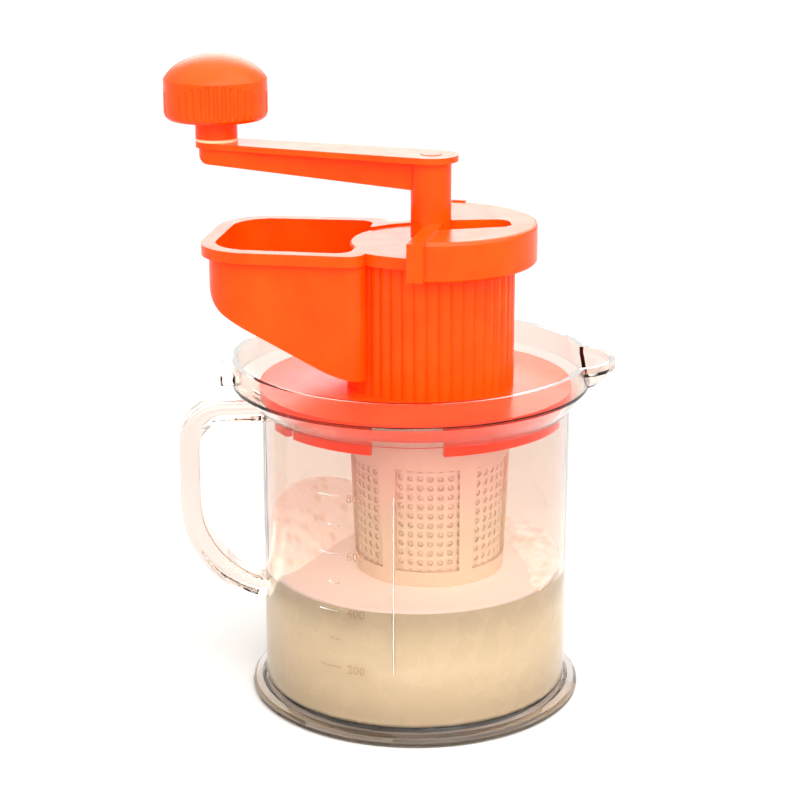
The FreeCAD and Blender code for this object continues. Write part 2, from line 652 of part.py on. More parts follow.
def make_flange():
    """The seating flange: a shallow hollow dome with a segmented skirt."""
    dome_foot = f"({FLANGE_RADIUS} - dome_inset)"
    slope = f"dome_rise / ({dome_foot} - dome_top_radius)"
    skirt_radius = f"{JUG_INNER} - skirt_gap"
    inside = f"{skirt_radius} - skirt_wall"
    hollow_edge = f"{inside} - 1"
    dome = turned("flange_dome", [
        ("0", "0"),
        (FLANGE_FOOT, "0"),
        (FLANGE_RADIUS, FLANGE_BEVEL),
        (FLANGE_RADIUS, "flange_thickness"),
        (dome_foot, "flange_thickness"),
        ("dome_top_radius", DOME_TOP),
        ("0", DOME_TOP),
    ])
    hollow = turned("flange_hollow", [
        ("0", "-1"),
        (hollow_edge, "-1"),
        (hollow_edge, f"flange_thickness - body_wall + ({dome_foot} - ({hollow_edge})) * {slope}"),
        ("dome_top_radius", f"{DOME_TOP} - body_wall"),
        ("0", f"{DOME_TOP} - body_wall"),
    ])
    skirt = turned("flange_skirt", [
        (inside, "-skirt_depth"),
        (skirt_radius, "-skirt_depth"),
        (skirt_radius, "0.5"),
        (inside, "0.5"),
    ])
    gaps = []
    for index, (start, end) in enumerate(SKIRT_GAPS):
        gap = doc.addObject("Part::Cylinder", f"skirt_gap_{index}")
        bind(gap, Radius=FLANGE_FOOT, Height="skirt_depth + 1", Angle=str(end - start))
        settle(gap, z="-skirt_depth - 1", turn=str(start))
        gaps.append(gap)
    segments = cut("skirt_segments", skirt, gaps)
    flange = fuse("flange", [cut("flange_shell", dome, [hollow]), segments])
    settle(flange, x="-grinder_offset")
    return flange


def make_grinder_body():
    """Orange moulding: flange, ribbed barrel with a neck below it, and the scoop-like hopper."""
    rim_low = "barrel_top - hopper_rim_depth"
    band = hopper_plan("hopper_band", "0", "hopper_near", rim_low, "barrel_top")
    wall_plan = hopper_plan("hopper_wall_plan", "hopper_rim_step", "hopper_near", "hopper_low - 1", rim_low)
    wall_side = hopper_side(
        "hopper_wall_side", "hopper_reach - hopper_rim_step", "0", "barrel_top", "hopper_heel")
    hopper = common("hopper_outside", [wall_plan, wall_side])
    inset = "(hopper_rim_step + hopper_wall)"
    cavity_near = f"hopper_near + {inset}"
    hollow_plan = hopper_plan("hopper_hollow_plan", inset, cavity_near, "hopper_low", "barrel_top + 1")
    lift = "hopper_wall"
    hollow_side = hopper_side("hopper_hollow_side", f"hopper_reach - {inset}", lift, "barrel_top + 2",
                              "hopper_heel - hopper_wall")
    hollow = common("hopper_hollow", [hollow_plan, hollow_side])
    mouth_plan = slab("mouth_plan", [
        ("-hopper_near - 2 * hopper_near_corner", "-mouth_half"),
        ("-hopper_near / 2", "-mouth_half"),
        ("-hopper_near / 2", "mouth_half"),
        ("-hopper_near - 2 * hopper_near_corner", "mouth_half"),
    ], WEB_TOP, "barrel_top + 1")
    mouth_side = hopper_side("mouth_side", f"hopper_reach - {inset}", lift, "barrel_top + 2",
                             "hopper_heel - hopper_wall")
    mouth = common("hopper_mouth", [mouth_plan, mouth_side])
    barrel = ribbed_rod("barrel_ribs", "barrel_shoulder", "barrel_top - 1")
    rim = cylinder("barrel_rim", "barrel_rim_radius", "barrel_top - barrel_rim_depth", "barrel_top")
    neck = cylinder("basket_neck", "neck_radius", "-neck_depth", "barrel_shoulder + 1")
    solid = fuse("grinder_solid", [make_flange(), barrel, rim, neck, band, hopper])
    bore = cylinder("barrel_hollow", "barrel_bore", WEB_TOP, "barrel_top + 1")
    recess = cylinder("cover_recess", "barrel_bore + ledge_width", COVER_BOTTOM, "barrel_top + 1")
    throat = cylinder("feed_throat", "throat_radius", "0", f"{WEB_TOP} + 1")
    burr_room = cylinder("burr_room", "fixed_burr_radius + press_gap", "-neck_depth - 1", "web_bottom")
    screw_holes = around(lambda name, x, y: cylinder(
        name, "screw_radius + press_gap", "web_bottom - 1", f"{WEB_TOP} - 1", x, y), "body_screw_hole")
    body = cut("grinder_body", solid, [bore, recess, throat, burr_room, hollow, mouth] + screw_holes)
    settle(body, x="grinder_offset", z=SEAT)
    return body


def around(make, name):
    """Makes one thing for each burr screw, at its place round the burr."""
    count = int(number("burr_screw_count"))
    things = []
    for index in range(count):
        turn = f"{index} * 360 / {count} + 90"
        x, y = f"burr_screw_ring * cos({turn})", f"burr_screw_ring * sin({turn})"
        things.append(make(f"{name}_{index}", x, y))
    return things


# ------------------------------------------------------------------ the cover and the half-moon cap
def make_feed_cover():
    """Disc that closes the bore, with a hub that holds the shaft's bush."""
    radius = "barrel_bore + ledge_width - cover_gap"
    cover = turned("feed_cover", [
        ("bush_radius + press_gap", HUB_BOTTOM),
        ("hub_radius", HUB_BOTTOM),
        ("hub_radius", COVER_BOTTOM),
        (radius, COVER_BOTTOM),
        (radius, f"{COVER_TOP} - 0.6"),
        (f"{radius} - 0.6", COVER_TOP),
        ("bush_radius + press_gap", COVER_TOP),
    ])
    settle(cover, x="grinder_offset", z=SEAT)
    return cover


def make_shaft_bush():
    """Nylon bush pressed into the cover from above; the shaft turns in it."""
    bush = turned("shaft_bush", [
        ("shaft_radius + running_gap", HUB_BOTTOM),
        ("bush_radius", HUB_BOTTOM),
        ("bush_radius", COVER_TOP),
        ("bush_head_radius", COVER_TOP),
        ("bush_head_radius", BUSH_TOP),
        ("shaft_radius + running_gap", BUSH_TOP),
    ])
    settle(bush, x="grinder_offset", z=SEAT)
    return bush


def slot_outline(name, margin, low, high):
    """The slot in plan, grown by a margin: it narrows away from the shaft and ends in round corners."""
    far_side = f"slot_side + ({margin})"
    corners = [
        ("0", f"{far_side} - slot_width - 2 * ({margin})"),
        (f"slot_length + ({margin})", f"{far_side} - slot_end_width - 2 * ({margin})"),
        (f"slot_length + ({margin})", far_side),
        ("0", far_side),
    ]
    slot = slab(name, corners, low, high)
    round_corners(slot, [corners[1], corners[2]], f"slot_round + ({margin})")
    bind(slot, Placement__Rotation__Angle="slot_turn")
    return slot


def make_half_cap():
    """Half-moon cap: it slides on sideways, its lip under the barrel's rim."""
    room = "barrel_rim_radius + cap_gap + 0.6"
    under_rim = "barrel_top - barrel_rim_depth - cap_gap"
    proud = f"{CAP_TOP} + cap_tab_proud"
    shell = turned("cap_shell", [
        ("0", f"{CAP_TOP} - cap_wall"),
        (room, f"{CAP_TOP} - cap_wall"),
        (room, under_rim),
        ("cap_lip_radius", under_rim),
        ("cap_lip_radius", CAP_BOTTOM),
        ("cap_radius - 0.6", CAP_BOTTOM),
        ("cap_radius", f"{CAP_BOTTOM} + 0.6"),
        ("cap_radius", f"{CAP_TOP} - 1.2"),
        ("cap_radius - 0.35", f"{CAP_TOP} - 0.35"),
        ("cap_radius - 1.2", CAP_TOP),
        ("0", CAP_TOP),
    ])
    half = slab("cap_half_slab", [
        ("0", "-2 * cap_radius"), ("2 * cap_radius", "-2 * cap_radius"),
        ("2 * cap_radius", "2 * cap_radius"), ("0", "2 * cap_radius"),
    ], f"{CAP_BOTTOM} - 5", f"{CAP_TOP} + 5")
    slot_rim = slot_outline("slot_rim", "slot_wall", "barrel_top + cap_gap", f"{CAP_TOP} - cap_wall / 2")
    halves = [common("cap_half_shell", [shell, half]), common("cap_half_rim", [slot_rim, half])]
    solid = fuse("cap_solid", halves)
    hole = slot_outline("slot_hole", "0", f"{COVER_TOP} - 1", f"{CAP_TOP} + 2")
    tab_root = "cap_radius - cap_wall / 2"
    bars = []
    for name, near, far, low in (
        ("cap_front_tab", "-cap_tab_reach", f"-({tab_root})", f"{CAP_BOTTOM} + cap_tab_lift"),
        ("cap_back_tab", tab_root, "cap_radius + cap_back_tab", f"{CAP_BOTTOM} + cap_tab_lift"),
        ("cap_bar", f"-({tab_root})", "0", f"{CAP_TOP} - cap_wall"),
    ):
        corners = [("0", near), ("beam_width", near), ("beam_width", far), ("0", far)]
        bars.append(slab(name, corners, low, proud))
    barred = fuse("cap_barred", [cut("cap_slotted", solid, [hole])] + bars)
    notch = cylinder("sleeve_notch", "sleeve_radius + cap_gap", "barrel_top", f"{CAP_TOP} + 2")
    cap = cut("half_cap", barred, [notch])
    settle(cap, x="grinder_offset", z=SEAT, turn="cap_turn")
    return cap


# ------------------------------------------------------------------ the drive inside the body
def make_drive_shaft():
    """Steel shaft: square for the crank, round in the bush, threaded at the lower end."""
    shaft = turned("drive_shaft", [
        ("0", SHAFT_BOTTOM),
        ("thread_radius - 0.5", SHAFT_BOTTOM),
        ("thread_radius", f"{SHAFT_BOTTOM} + 0.5"),
        ("thread_radius", WASHER_BOTTOM),
        ("shaft_radius", f"{WASHER_BOTTOM} + shaft_radius - thread_radius"),
        ("shaft_radius", SQUARE_TOP),
        ("0", SQUARE_TOP),
    ])
    flats = sketch_in(shaft, "XY_Plane", SLEEVE_BOTTOM)
    for half in ("(2 * shaft_radius)", "(shaft_square / 2)"):
        outline(flats, [(f"-{half}", f"-{half}"), (half, f"-{half}"), (half, half), (f"-{half}", half)])
    extrude(shaft, "Pocket", flats, "square_length + 1", Reversed=True)
    cut_round(shaft, "crank_screw_radius + press_gap", f"{CRANK_SCREW_TIP} - face_gap", SQUARE_TOP)
    cross = sketch_in(shaft, "XZ_Plane")
    ring(cross, "pin_radius + press_gap", "0", PIN_LEVEL)
    extrude(shaft, "Pocket", cross, "4 * shaft_radius", Midplane=True)
    settle(shaft, x="grinder_offset", z=SEAT, turn="set_screw_turn")
    return shaft


def make_feed_auger():
    """Feed screw pressed on the shaft; its flight pushes the beans down to the burrs."""
    auger = turned("feed_auger", [
        ("shaft_radius + press_gap", AUGER_BOTTOM),
        ("auger_hub", AUGER_BOTTOM),
        ("auger_hub", AUGER_TOP),
        ("shaft_radius + press_gap", AUGER_TOP),
    ])
    sketch = sketch_in(auger, "XZ_Plane")
    low = f"{AUGER_BOTTOM} + 0.2"
    inner = "shaft_radius + (auger_hub - shaft_radius) / 2"
    outline(sketch, [(inner, low), ("auger_radius", low), ("auger_radius", f"{low} + flight_thickness"),
                     (inner, f"{low} + flight_thickness")])
    flight = auger.newObject("PartDesign::AdditiveHelix", "auger_flight")
    flight.Profile = sketch
    flight.ReferenceAxis = (sketch, ["V_Axis"])
    flight.Mode = "pitch-height-angle"
    bind(flight, Pitch="auger_pitch", Height=f"{AUGER_TOP} - {AUGER_BOTTOM} - flight_thickness - 2")
    sketch.Visibility = False
    doc.recompute()
    settle(auger, x="grinder_offset", z=SEAT)
    return auger


def groove(body, level, downward, outer):
    """Cuts radial grooves into a burr's flat face and repeats them round it."""
    sketch = sketch_in(body, "XY_Plane", level)
    inner = "throat_radius - 1"
    outline(sketch, [(inner, "-groove_width / 2"), (f"({outer}) + 1", "-groove_width / 2"),
                     (f"({outer}) + 1", "groove_width / 2"), (inner, "groove_width / 2")])
    feature = extrude(body, "Pocket", sketch, "groove_depth", Reversed=not downward)
    return pattern(body, feature, "groove_count")


def make_upper_burr():
    """Fixed burr, screwed up against the web; its mouth widens towards the grooves."""
    burr = turned("upper_burr_blank", [
        ("throat_radius - 2", FIXED_BURR_BOTTOM),
        ("fixed_burr_radius", FIXED_BURR_BOTTOM),
        ("fixed_burr_radius", "web_bottom"),
        ("throat_radius - 2", "web_bottom"),
    ])
    groove(burr, FIXED_BURR_BOTTOM, False, "fixed_burr_radius")
    holes = around(lambda name, x, y: cylinder(
        name, "screw_radius + press_gap", FIXED_BURR_BOTTOM, "web_bottom + 1", x, y), "burr_hole")
    sinks = around(lambda name, x, y: countersink(name, "press_gap", x, y), "burr_sink")
    head_low = f"{FIXED_BURR_BOTTOM} + groove_depth"
    wells = around(lambda name, x, y: cylinder(
        name, "screw_head_radius + press_gap", f"{FIXED_BURR_BOTTOM} - 1", head_low, x, y), "burr_well")
    drilled = cut("upper_burr", burr, holes + sinks + wells)
    settle(drilled, x="grinder_offset", z=SEAT)
    return drilled


def countersink(name, gap, x, y):
    """A screw's countersunk head, point up, flush in the fixed burr's face."""
    cone = doc.addObject("Part::Cone", name)
    bind(cone, Radius1=f"screw_head_radius + {gap}", Radius2=f"screw_radius + {gap}",
         Height="screw_head_radius - screw_radius")
    settle(cone, x, y, f"{FIXED_BURR_BOTTOM} + groove_depth")
    return cone


def make_burr_screws():
    """Countersunk screws that hold the fixed burr, one solid each."""
    head_low = f"{FIXED_BURR_BOTTOM} + groove_depth"
    shanks = around(lambda name, x, y: cylinder(
        name, "screw_radius", head_low, f"{WEB_TOP} - 1.4", x, y), "burr_screw_shank")
    heads = around(lambda name, x, y: countersink(name, "0", x, y), "burr_screw_head")
    screws = [fuse(f"burr_screw_{index}", list(pair)) for index, pair in enumerate(zip(shanks, heads))]
    group = doc.addObject("Part::Compound", "burr_screws")
    group.Links = screws
    group.Label = "burr_screws"
    settle(group, x="grinder_offset", z=SEAT)
    return group


def make_lower_burr():
    """Turning burr: the pin in its cross slot drives it, and the nut sets its height."""
    burr = turned("lower_burr", [
        ("shaft_radius + running_gap", TURNING_BURR_BOTTOM),
        ("turning_burr_radius - 3", TURNING_BURR_BOTTOM),
        ("turning_burr_radius", f"{TURNING_BURR_BOTTOM} + 3"),
        ("turning_burr_radius", TURNING_BURR_TOP),
        ("shaft_radius + running_gap", TURNING_BURR_TOP),
    ])
    groove(burr, TURNING_BURR_TOP, True, "turning_burr_radius")
    sketch = sketch_in(burr, "XY_Plane", TURNING_BURR_TOP)
    half_length = "pin_length / 2 + pin_gap"
    half_width = "pin_radius + pin_gap"
    outline(sketch, [(f"-({half_length})", f"-({half_width})"), (half_length, f"-({half_width})"),
                     (half_length, half_width), (f"-({half_length})", half_width)])
    extrude(burr, "Pocket", sketch, "2 * pin_radius + pin_gap")
    settle(burr, x="grinder_offset", z=SEAT, turn="set_screw_turn + 90")
    return burr


def make_burr_drive_pin():
    """Steel pin pressed across the shaft."""
    pin = new_body("burr_drive_pin")
    sketch = sketch_in(pin, "XZ_Plane")
    ring(sketch, "pin_radius", "0", PIN_LEVEL)
    extrude(pin, "Pad", sketch, "pin_length", Midplane=True)
    settle(pin, x="grinder_offset", z=SEAT, turn="set_screw_turn")
    return pin


def make_burr_spring():
    """Compression spring between the feed screw and the turning burr."""
    helix = doc.addObject("Part::Helix", "spring_path")
    room = f"({AUGER_BOTTOM} - {TURNING_BURR_TOP} - 2 * spring_wire - 2 * face_gap)"
    bind(helix, Pitch="spring_pitch", Height=room, Radius="spring_radius")
    helix.SegmentLength = 1  # one face for each turn
    wire = doc.addObject("Part::Circle", "spring_wire_section")
    bind(wire, Radius="spring_wire")
    wire.Placement = FreeCAD.Placement(FreeCAD.Vector(number("spring_radius"), 0, 0), FreeCAD.Rotation(
        FreeCAD.Vector(1, 0, 0), 90))
    bind(wire, Placement__Base__x="spring_radius")
    sweep = doc.addObject("Part::Sweep", "burr_spring")
    sweep.Label = "burr_spring"
    sweep.Sections = [wire]
    sweep.Spine = (helix, [])
    sweep.Solid = True
    sweep.Frenet = True
    doc.recompute()
    settle(sweep, x="grinder_offset", z=f"{SEAT} + {TURNING_BURR_TOP} + spring_wire + face_gap")
    return sweep


def make_burr_washer():
    """Steel washer between the turning burr and the nut."""
    washer = turned("burr_washer", [
        ("shaft_radius + washer_gap", f"{WASHER_BOTTOM} + face_gap"),
        ("washer_radius", f"{WASHER_BOTTOM} + face_gap"),
        ("washer_radius", f"{TURNING_BURR_BOTTOM} - face_gap"),
        ("shaft_radius + washer_gap", f"{TURNING_BURR_BOTTOM} - face_gap"),
    ])
    settle(washer, x="grinder_offset", z=SEAT)
    return washer


def make_adjusting_nut():
    """Scalloped nut on the shaft's thread; one turn moves the burr 1.25 mm, the thread's pitch."""
    nut = turned("adjusting_nut", [
        ("thread_radius + running_gap", NUT_BOTTOM),
        ("nut_radius - 1", NUT_BOTTOM),
        ("nut_radius", f"{NUT_BOTTOM} + 1"),
        ("nut_radius", f"{WASHER_BOTTOM} - 1"),
        ("nut_radius - 1", WASHER_BOTTOM),
        ("thread_radius + running_gap", WASHER_BOTTOM),
    ])
    scallop = cut_round(nut, "scallop_radius", NUT_BOTTOM, WASHER_BOTTOM, x="nut_radius + scallop_radius / 2")
    pattern(nut, scallop, "nut_lobes")
    settle(nut, x="grinder_offset", z=SEAT)
    return nut


# ------------------------------------------------------------------ the crank and its knob
def hull(name, near, far, low, high):
    """A bar with round ends of two radii, from the shaft's axis to the knob's."""
    lean = f"((({near}) - ({far})) / crank_length)"
    rise = f"sqrt(1 - {lean} * {lean})"
    near_x, near_y = f"({near}) * {lean}", f"({near}) * {rise}"
    far_x, far_y = f"crank_length + ({far}) * {lean}", f"({far}) * {rise}"
    sides = [(near_x, f"-({near_y})"), (far_x, f"-({far_y})"), (far_x, far_y), (near_x, near_y)]
    ends = [
        cylinder(name + "_near", near, low, high),
        cylinder(name + "_far", far, low, high, x="crank_length"),
    ]
    return fuse(name, ends + [slab(name + "_sides", sides, low, high)])


def side_rod(name, radius, start, end, level):
    """A round rod that lies along +X, from one distance to another."""
    rod = new_body(name)
    sketch = sketch_in(rod, "YZ_Plane", start)
    ring(sketch, radius, "0", level)
    extrude(rod, "Pad", sketch, f"({end}) - ({start})")
    return rod


def square_socket(name):
    """The sleeve's socket for the shaft's square end."""
    side = "(shaft_square + 2 * press_gap)"
    socket = doc.addObject("Part::Box", name)
    low = f"({SLEEVE_BOTTOM} - 1)"
    bind(socket, Length=side, Width=side, Height=f"{SQUARE_TOP} + face_gap - {low}")
    bind(socket, Placement__Base__x=f"-{side} / 2", Placement__Base__y=f"-{side} / 2", Placement__Base__z=low)
    core = cylinder(name + "_core", "crank_screw_radius", low, SQUARE_TOP)
    turned_socket = fuse(name + "_turned", [socket, core])
    settle(turned_socket, turn="set_screw_turn - crank_turn")
    return turned_socket


def make_crank_arm():
    """The crank: sleeve, flat top plate and a tapering channel under it, in one moulding."""
    plate_low = "crank_height - plate_thickness"
    near = "walls_near_half"
    far = "walls_far_half"
    near_low = "crank_height - arm_near_depth"
    far_low = "crank_height - arm_far_depth"
    end = f"crank_length + {far}"
    plate = hull("arm_plate", "plate_near_radius", "plate_far_radius", plate_low, "crank_height")
    walls = hull("arm_walls", near, far, f"{near_low} - 1", f"{plate_low} + 0.5")
    end_low = f"{far_low} + ({far}) * (arm_near_depth - arm_far_depth) / crank_length"
    side_corners = [
        ("-plate_near_radius", "crank_height"),
        ("-plate_near_radius", near_low),
        ("0", near_low),
        (end, end_low),
        (end, "crank_height"),
    ]
    side = cross_slab("arm_side", side_corners, "4 * plate_near_radius")
    round_corners(side, [side_corners[3]], "arm_end_round", across="z")
    channel = hull("arm_channel", f"{near} - arm_wall", f"{far} - arm_wall", f"{near_low} - 2", plate_low)
    boss = cylinder("axle_boss", far, far_low, plate_low, x="crank_length")
    sleeve = cylinder("crank_sleeve", "sleeve_radius", SLEEVE_BOTTOM, "crank_height")
    shell = cut("arm_shell", common("arm_web", [walls, side]), [channel])
    trimmed_boss = common("axle_boss_trimmed", [boss, side])
    solid = fuse("crank_solid", [plate, shell, sleeve, trimmed_boss])
    tools = [
        square_socket("crank_socket"),
        cylinder("crank_screw_hole", "crank_screw_radius + washer_gap", SQUARE_TOP, "crank_height"),
        cylinder("plug_hole", "plug_radius + press_gap", CRANK_SCREW_SEAT, "crank_height + 1"),
        cylinder("axle_hole", "axle_radius + press_gap", f"{AXLE_BOTTOM} - face_gap", "crank_height + 1",
                 x="crank_length"),
    ]
    drilling = side_rod("set_screw_drilling", "set_screw_radius + press_gap", "0", "2 * sleeve_radius",
                        SET_SCREW_LEVEL)
    settle(drilling, turn="set_screw_turn - crank_turn")
    arm = cut("crank_arm", solid, tools + [drilling])
    settle(arm, x="grinder_offset", z=SEAT, turn="crank_turn")
    return arm


def make_crank_screw():
    """Pan-head screw that holds the crank down on the shaft."""
    screw = turned("crank_screw", [
        ("0", CRANK_SCREW_TIP),
        ("crank_screw_radius - 0.4", CRANK_SCREW_TIP),
        ("crank_screw_radius", f"{CRANK_SCREW_TIP} + 0.4"),
        ("crank_screw_radius", CRANK_SCREW_SEAT),
        ("crank_screw_head", CRANK_SCREW_SEAT),
        ("crank_screw_head", f"{CRANK_SCREW_SEAT} + crank_screw_head_height - 0.8"),
        ("crank_screw_head - 0.8", f"{CRANK_SCREW_SEAT} + crank_screw_head_height"),
        ("0", f"{CRANK_SCREW_SEAT} + crank_screw_head_height"),
    ])
    settle(screw, x="grinder_offset", z=SEAT)
    return screw


def make_crank_plug():
    """Plug pressed in over the crank screw."""
    top = "crank_height + plug_proud"
    plug = turned("crank_plug", [
        ("0", f"{top} - plug_thickness"),
        ("plug_radius", f"{top} - plug_thickness"),
        ("plug_radius", f"{top} - 0.3"),
        ("plug_radius - 0.3", top),
        ("0", top),
    ])
    settle(plug, x="grinder_offset", z=SEAT)
    return plug


def make_crank_set_screw():
    """Headless screw through the sleeve's side onto one flat of the square."""
    screw = side_rod("crank_set_screw", "set_screw_radius", "shaft_square / 2 + press_gap",
                     "sleeve_radius - set_screw_recess", SET_SCREW_LEVEL)
    settle(screw, x="grinder_offset", z=SEAT, turn="set_screw_turn")
    return screw


def make_knob_axle():
    """Steel axle held in the arm's boss; the knob snaps over its head."""
    axle = turned("knob_axle", [
        ("0", AXLE_BOTTOM),
        ("axle_radius", AXLE_BOTTOM),
        ("axle_radius", AXLE_HEAD_SEAT),
        ("axle_head_radius", AXLE_HEAD_SEAT),
        ("axle_radius - 0.5", f"{AXLE_HEAD_SEAT} + axle_head_height"),
        ("0", f"{AXLE_HEAD_SEAT} + axle_head_height"),
    ])
    settle(axle, x=KNOB_X, y=KNOB_Y, z=SEAT)
    return axle


def make_knob_washer():
    """Thin washer between the arm and the knob's neck."""
    washer = turned("knob_washer", [
        ("axle_radius + running_gap", "crank_height + face_gap / 2"),
        ("knob_washer_radius", "crank_height + face_gap / 2"),
        ("knob_washer_radius", "crank_height + face_gap / 2 + knob_washer_thickness"),
        ("axle_radius + running_gap", "crank_height + face_gap / 2 + knob_washer_thickness"),
    ])
    settle(washer, x=KNOB_X, y=KNOB_Y, z=SEAT)
    return washer


def quarter_round(radius, low, rounding):
    """Corners of a turned outline that round off its lower outer edge in three steps."""
    corners = []
    for angle in (0, 30, 60, 90):
        corners.append((
            f"{radius} - ({rounding}) * (1 - sin({angle}))", f"{low} + ({rounding}) * (1 - cos({angle}))"))
    return corners


def make_crank_knob():
    """Domed knob, hollow inside, with arched groups of flutes; it turns on the axle."""
    neck_low = "crank_height + knob_washer_thickness + thrust_gap"
    low = "crank_height + knob_bottom"
    side_top = f"{low} + knob_side"
    top = f"{side_top} + knob_dome"
    dome_half = "(knob_radius + dome_swell)"
    dome_rise = f"(knob_dome / (1 - sqrt(1 - pow(knob_radius / {dome_half}; 2))))"
    inside = "knob_radius - knob_wall"
    stem = "knob_neck_radius"
    body = turned("knob_blank", [
        ("0", neck_low),
        (stem, neck_low),
        (stem, low),
        *quarter_round("knob_radius", low, "knob_edge_round"),
        ("knob_radius", top),
        ("0", top),
    ])
    dome_centre = f"({top} - {dome_rise})"
    egg = doc.addObject("Part::Ellipsoid", "knob_dome_egg")
    bind(egg, Radius1=dome_rise, Radius2=dome_half, Radius3=dome_half)
    settle(egg, z=dome_centre)
    bar = cylinder("knob_dome_bar", dome_half, f"{neck_low} - 1", dome_centre)  # keeps the side straight
    domed = common("knob_domed", [body, fuse("knob_dome", [egg, bar])])
    hollow = turned("knob_hollow", [
        (stem, f"{low} + knob_wall"),
        (inside, f"{low} + knob_wall"),
        (inside, f"{side_top} - knob_wall"),
        (stem, f"{side_top} + knob_wall"),
    ])
    head_room_low = f"{AXLE_HEAD_SEAT} - thrust_gap"
    head_room_high = f"{AXLE_HEAD_SEAT} + axle_head_height + thrust_gap"
    tools = [
        hollow,
        cylinder("knob_bore", "axle_radius + running_gap", f"{neck_low} - 1", head_room_high),
        cylinder("knob_head_room", "axle_head_radius + thrust_gap", head_room_low, head_room_high),
    ]
    flutes = int(number("flute_count"))
    for arch in range(int(number("arch_count"))):
        for index in range(flutes):
            place = index - (flutes - 1) / 2
            turn = f"({arch} * 360 / arch_count + {place} * flute_step)"
            share = (2 * place / (flutes - 1)) ** 2
            height = f"(knob_side - flute_top - flute_arch * {share:.4f})"
            reach = "(knob_radius + flute_radius / 2)"
            tools.append(cylinder(f"flute_{arch}_{index}", "flute_radius", f"{low} - 1", f"{low} + {height}",
                                  x=f"{reach} * cos({turn})", y=f"{reach} * sin({turn})"))
    knob = cut("crank_knob", domed, tools)
    settle(knob, x=KNOB_X, y=KNOB_Y, z=SEAT, turn="knob_turn")
    return knob


# ------------------------------------------------------------------ the filter basket
def basket_taper(level, inset):
    """Radius of the basket's tapered wall at a level, less an inset."""
    slope = "((basket_radius - basket_low_radius) / (basket_height - basket_collar - basket_round))"
    return f"(basket_radius - ({BASKET_TOP} - basket_collar - ({level})) * {slope} - ({inset}))"


def make_filter_basket():
    """Translucent basket: a collar that slips over the neck, a tapered wall with windows, a round foot."""
    collar_low = f"({BASKET_TOP} - basket_collar)"
    round_top = f"({BASKET_BOTTOM} + basket_round)"
    floor_top = f"({BASKET_BOTTOM} + basket_floor)"
    corner = "basket_round * 0.29"  # where a round of that radius crosses 45 degrees
    basket = turned("filter_basket", [
        ("0", BASKET_BOTTOM),
        ("basket_low_radius - basket_round", BASKET_BOTTOM),
        (f"basket_low_radius - {corner}", f"{BASKET_BOTTOM} + {corner}"),
        ("basket_low_radius", round_top),
        ("basket_radius", collar_low),
        ("basket_radius", BASKET_TOP),
        (BASKET_INNER, BASKET_TOP),
        (BASKET_INNER, f"{collar_low} + basket_wall"),
        (basket_taper(f"({collar_low})", "basket_wall"), f"{collar_low} + basket_wall / 2"),
        ("basket_low_radius - basket_wall", round_top),
        (f"basket_low_radius - {corner} - basket_wall", f"{BASKET_BOTTOM} + {corner} + basket_wall"),
        ("basket_low_radius - basket_round - basket_wall", floor_top),
        ("0", floor_top),
    ])
    sketch = sketch_in(basket, "YZ_Plane")
    half = "window_width / 2"
    low = "-(window_top + window_height)"
    outline(sketch, [(f"-({half})", low), (half, low), (half, "-window_top"), (f"-({half})", "-window_top")])
    window = extrude(basket, "Pocket", sketch, "2 * basket_radius", Reversed=True)
    pattern(basket, window, "window_count")
    settle(basket, x="grinder_offset", z=SEAT, turn="window_turn")
    return basket


def make_filter_mesh():
    """Perforated sleeve inside the basket's windows."""
    high = "(-window_top + mesh_overlap)"
    low = "(-window_top - window_height - mesh_overlap)"
    outside = "basket_wall + mesh_gap"
    inside = "basket_wall + mesh_gap + mesh_wall"
    mesh = turned("filter_mesh", [
        (basket_taper(low, outside), low),
        (basket_taper(high, outside), high),
        (basket_taper(high, inside), high),
        (basket_taper(low, inside), low),
    ])
    settle(mesh, x="grinder_offset", z=SEAT)
    return mesh


# ------------------------------------------------------------------ build, check and write
NODES = [
    make_jug, make_grinder_body, make_feed_cover, make_shaft_bush, make_half_cap, make_drive_shaft,
    make_feed_auger, make_upper_burr, make_burr_screws, make_lower_burr, make_burr_drive_pin,
    make_burr_spring, make_burr_washer, make_adjusting_nut, make_crank_arm, make_crank_screw,
    make_crank_plug, make_crank_set_screw, make_knob_axle, make_knob_washer, make_crank_knob,
    make_filter_basket, make_filter_mesh,
]


def failed_objects():
    """Names of document objects that did not recompute."""
    return [item.Name for item in doc.Objects if "Invalid" in item.State or "Error" in item.State]


def write_parts(nodes):
    """Checks every node and writes each to its own STEP file."""
    bad = failed_objects()
    bad += [node.Label for node in nodes if node.Shape.isNull() or not node.Shape.isValid()]
    if bad:
        raise RuntimeError("these did not build: " + ", ".join(bad))
    os.makedirs("parts", exist_ok=True)
    for node in nodes:
        node.Shape.exportStep(f"parts/{node.Label}.step")


nodes = [make() for make in NODES]
doc.recompute()
write_parts(nodes)
for node in nodes:
    print(f"{node.Label:18s} {len(node.Shape.Solids)} solid(s) {node.Shape.Volume / 1000:9.3f} cm3")
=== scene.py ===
import math
import bmesh
import bpy
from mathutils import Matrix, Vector, noise as cloud


